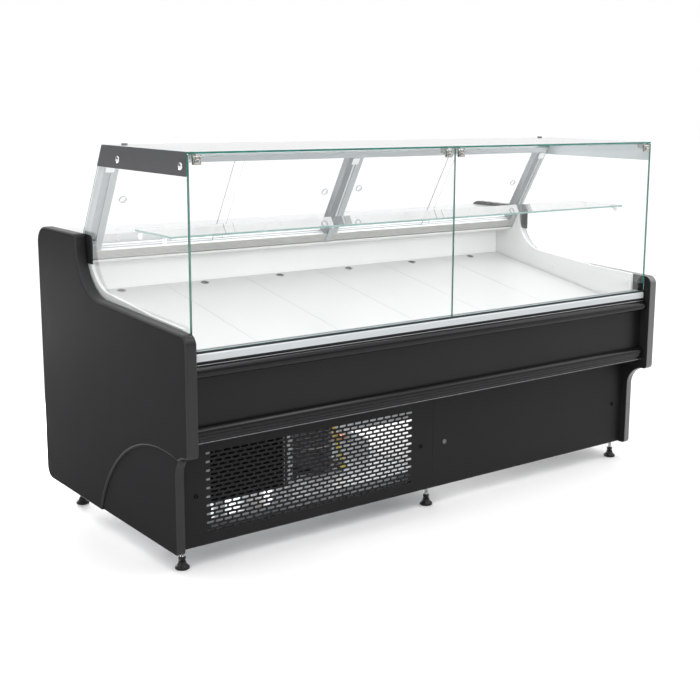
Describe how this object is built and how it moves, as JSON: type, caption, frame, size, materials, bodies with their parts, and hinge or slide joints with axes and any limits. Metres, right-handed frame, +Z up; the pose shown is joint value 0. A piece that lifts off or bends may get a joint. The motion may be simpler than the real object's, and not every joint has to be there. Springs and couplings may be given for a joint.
{
  "type": "refrigerated deli case",
  "caption": "Serve-over refrigerated counter with swing-up front glass, glass shelf, sloping deck, rear sliding doors and a condensing unit in the plinth.",
  "frame": {"origin": "on the floor, at the centre of the case's bounding box", "axes": "+X along the counter to the customer's right, +Y from the customer side to the staff side, +Z up"},
  "size_m": [2, 1.035, 1.242],
  "materials": {
    "charcoal_abs": "textured satin",
    "white_liner": "smooth",
    "galvanised": "satin",
    "white_foam_body": "satin",
    "white_sheet": "gloss",
    "grey_sill": "satin",
    "black_bumper": "satin",
    "charcoal_sheet": "fine texture",
    "black_fixings": "satin",
    "black_steel": "gloss",
    "clear_glass": "polished",
    "chrome_fittings": "polished",
    "dark_grey_plate": "satin",
    "extruded_aluminium": "anodised",
    "clear_acrylic": "polished",
    "light_diffuser": "milky",
    "stainless": "brushed",
    "grey_sheet": "satin",
    "grey_plastic": "satin",
    "finned_aluminium": "raw",
    "copper_pipe": "dull",
    "earth_lead": "striped"
  },
  "bodies": {
    "case": {"left_end_panel": "charcoal_abs", "right_end_panel": "charcoal_abs", "left_end_liner": "white_liner", "right_end_liner": "white_liner", "base_frame": "galvanised", "insulated_tub": "white_foam_body", "inner_tank": "white_sheet", "glass_sill": "grey_sill", "upper_bumper": "black_bumper", "front_panel": "charcoal_sheet", "lower_bumper": "black_bumper", "kick_panel_vented": "charcoal_sheet", "kick_panel_plain": "charcoal_sheet", "kick_panel_screws": "black_fixings", "left_side_glass": "clear_glass", "right_side_glass": "clear_glass", "top_glass": "clear_glass", "hinge_blocks": "chrome_fittings", "canopy_end_plates": "dark_grey_plate", "canopy_bolt_caps": "chrome_fittings", "canopy_pillars": "extruded_aluminium", "upper_door_rail": "extruded_aluminium", "lower_door_track": "extruded_aluminium", "track_end_caps": "black_fixings", "glass_shelf": "clear_glass", "shelf_supports": "chrome_fittings", "canopy_light": "light_diffuser", "worktop": "stainless", "rear_panel": "grey_sheet", "control_panel": "black_fixings", "cable_gland": "black_fixings", "evaporator": "finned_aluminium", "drain": "black_fixings", "machine_tray": "galvanised", "compressor": "black_steel", "condenser": "black_steel", "fan_shroud": "black_steel", "receiver": "black_steel", "refrigerant_pipes": "copper_pipe", "earth_wire": "earth_lead"},
    "front_feet": {"front_feet": "black_fixings"},
    "rear_feet": {"rear_feet": "black_fixings"},
    "left_pane": {"left_front_glass": "clear_glass", "left_glass_clamps": "chrome_fittings"},
    "right_pane": {"right_front_glass": "clear_glass", "right_glass_clamps": "chrome_fittings"},
    "thermostat_dial": {"thermostat_dial": "grey_plastic"},
    "power_switch": {"power_switch": "black_fixings"},
    "light_switch": {"light_switch": "black_fixings"},
    "condenser_fan": {"condenser_fan": "finned_aluminium"},
    "door_1": {"sliding_door_1": "clear_acrylic"},
    "door_2": {"sliding_door_2": "clear_acrylic"},
    "door_3": {"sliding_door_3": "clear_acrylic"},
    "door_4": {"sliding_door_4": "clear_acrylic"},
    "deck_1": {"deck_plate_1": "white_sheet"},
    "deck_2": {"deck_plate_2": "white_sheet"},
    "deck_3": {"deck_plate_3": "white_sheet"},
    "deck_4": {"deck_plate_4": "white_sheet"},
    "deck_5": {"deck_plate_5": "white_sheet"},
    "deck_6": {"deck_plate_6": "white_sheet"}
  },
  "joints": [
    {"name": "left_pane_swing", "type": "hinge", "parent": "case", "child": "left_pane", "pos_m": [-0.48, -0.4835, 1.222], "axis": [-1, 0, 0], "range_deg": [0, 85]},
    {"name": "right_pane_swing", "type": "hinge", "parent": "case", "child": "right_pane", "pos_m": [0.48, -0.4835, 1.222], "axis": [-1, 0, 0], "range_deg": [0, 85]},
    {"name": "door_1_slide", "type": "slide", "parent": "case", "child": "door_1", "axis": [1, 0, 0], "range_m": [0, 0.42]},
    {"name": "door_2_slide", "type": "slide", "parent": "case", "child": "door_2", "axis": [-1, 0, 0], "range_m": [0, 0.42]},
    {"name": "door_3_slide", "type": "slide", "parent": "case", "child": "door_3", "axis": [1, 0, 0], "range_m": [0, 0.42]},
    {"name": "door_4_slide", "type": "slide", "parent": "case", "child": "door_4", "axis": [-1, 0, 0], "range_m": [0, 0.42]},
    {"name": "deck_1_tip", "type": "hinge", "parent": "case", "child": "deck_1", "pos_m": [-0.78517, -0.431, 0.59888], "axis": [1, 0, 0], "range_deg": [0, 6]},
    {"name": "deck_2_tip", "type": "hinge", "parent": "case", "child": "deck_2", "pos_m": [-0.4711, -0.431, 0.59888], "axis": [1, 0, 0], "range_deg": [0, 6]},
    {"name": "deck_3_tip", "type": "hinge", "parent": "case", "child": "deck_3", "pos_m": [-0.15703, -0.431, 0.59888], "axis": [1, 0, 0], "range_deg": [0, 6]},
    {"name": "deck_4_tip", "type": "hinge", "parent": "case", "child": "deck_4", "pos_m": [0.15703, -0.431, 0.59888], "axis": [1, 0, 0], "range_deg": [0, 6]},
    {"name": "deck_5_tip", "type": "hinge", "parent": "case", "child": "deck_5", "pos_m": [0.4711, -0.431, 0.59888], "axis": [1, 0, 0], "range_deg": [0, 6]},
    {"name": "deck_6_tip", "type": "hinge", "parent": "case", "child": "deck_6", "pos_m": [0.78517, -0.431, 0.59888], "axis": [1, 0, 0], "range_deg": [0, 6]},
    {"name": "front_feet_thread", "type": "slide", "parent": "case", "child": "front_feet", "axis": [0, 0, 1], "range_m": [0, 0.015]},
    {"name": "rear_feet_thread", "type": "slide", "parent": "case", "child": "rear_feet", "axis": [0, 0, 1], "range_m": [0, 0.015]},
    {"name": "thermostat_turn", "type": "hinge", "parent": "case", "child": "thermostat_dial", "pos_m": [-0.045, 0.5005, 0.8], "axis": [0, 1, 0], "range_deg": [0, 300]},
    {"name": "power_switch_rock", "type": "hinge", "parent": "case", "child": "power_switch", "pos_m": [0.03, 0.4955, 0.8], "axis": [-1, 0, 0], "range_deg": [0, 14]},
    {"name": "light_switch_rock", "type": "hinge", "parent": "case", "child": "light_switch", "pos_m": [0.07, 0.4955, 0.8], "axis": [-1, 0, 0], "range_deg": [0, 14]},
    {"name": "condenser_fan_spin", "type": "hinge", "parent": "case", "child": "condenser_fan", "pos_m": [-0.72, -0.2435, 0.278], "axis": [0, 1, 0], "continuous": true}
  ]
}
